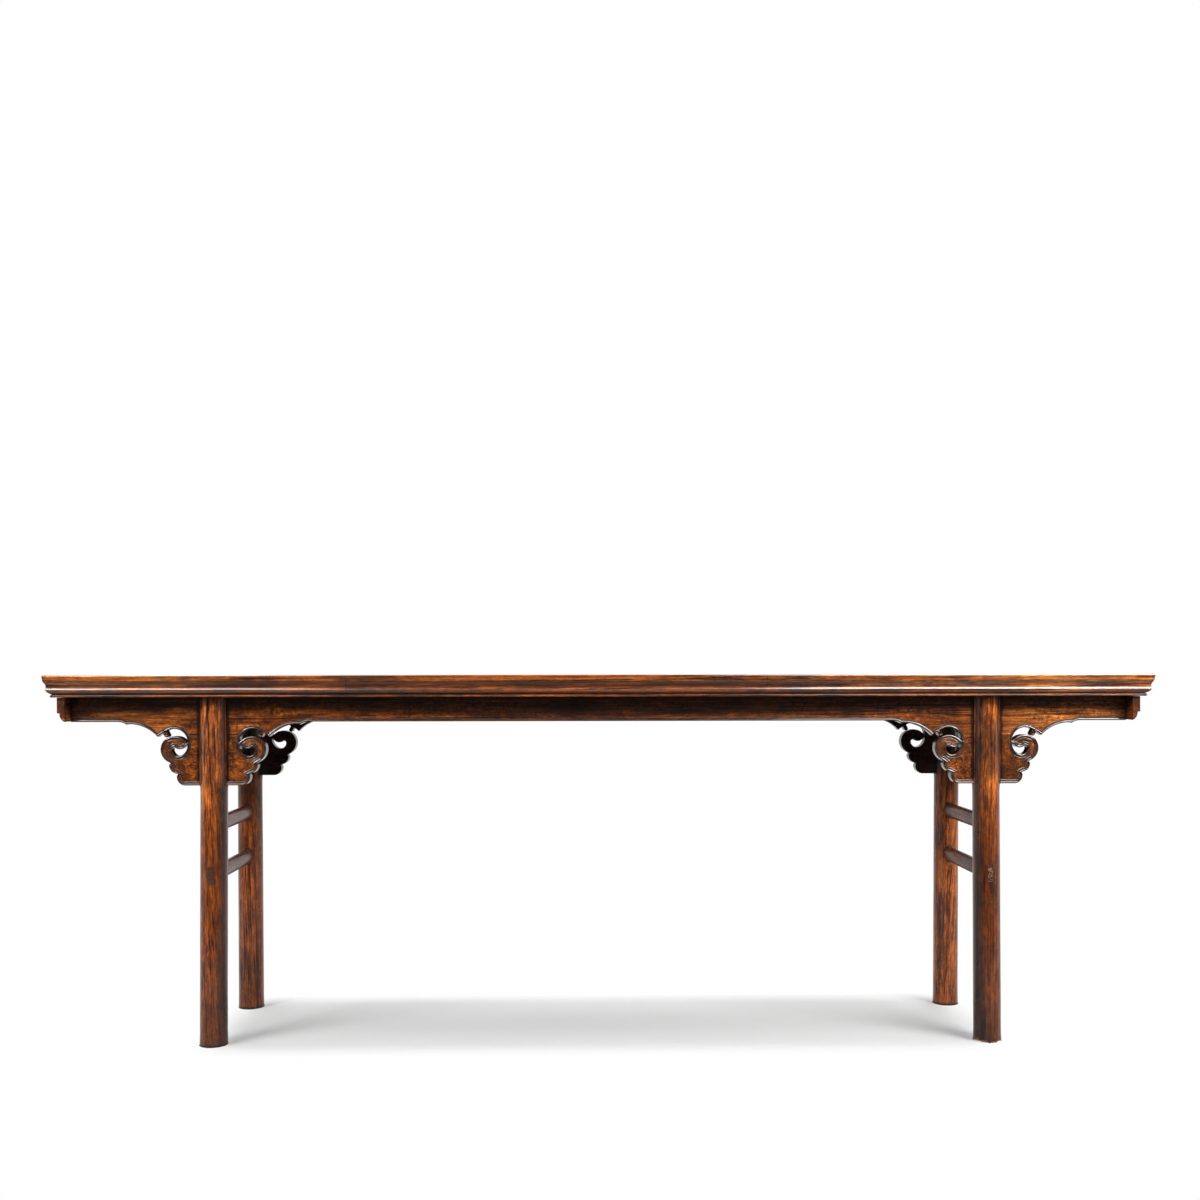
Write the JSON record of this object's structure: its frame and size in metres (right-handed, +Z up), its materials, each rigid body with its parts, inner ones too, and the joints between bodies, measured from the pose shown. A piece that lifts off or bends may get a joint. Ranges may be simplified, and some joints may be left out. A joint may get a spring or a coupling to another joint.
{
  "type": "altar table",
  "caption": "Long narrow wooden table with a moulded framed top, recessed round legs, cloud-scroll spandrels and paired oval side stretchers.",
  "frame": {"origin": "on the floor under the middle of the table", "axes": "+X along the table's length, front at -Y, +Z up"},
  "size_m": [2.585, 0.48, 0.87],
  "materials": {
    "top_frame": "old clear lacquer on orange-brown hardwood, worn at the edges",
    "panel": "satin, with old wear and fine scratches",
    "underside": "dull, dry and dusty",
    "apron": "glossy old lacquer, dark in the carved grooves",
    "leg": "glossy old lacquer over streaky red-brown grain",
    "stretcher": "glossy old lacquer",
    "wedge": "dark end grain"
  },
  "bodies": {
    "root": {"front_top_rail": "top_frame", "back_top_rail": "top_frame", "left_top_rail": "top_frame", "right_top_rail": "top_frame", "front_panel_board": "panel", "back_panel_board": "panel", "top_batten_1": "underside", "top_batten_2": "underside", "top_batten_3": "underside", "top_batten_4": "underside", "top_batten_5": "underside", "front_apron": "apron", "back_apron": "apron", "left_end_apron": "apron", "right_end_apron": "apron", "front_left_leg": "leg", "front_left_spandrel": "apron", "front_right_leg": "leg", "front_right_spandrel": "apron", "back_left_leg": "leg", "back_left_spandrel": "apron", "back_right_leg": "leg", "back_right_spandrel": "apron", "left_upper_stretcher": "stretcher", "left_lower_stretcher": "stretcher", "left_tenon_wedges": "wedge", "right_upper_stretcher": "stretcher", "right_lower_stretcher": "stretcher", "right_tenon_wedges": "wedge"}
  },
  "joints": []
}
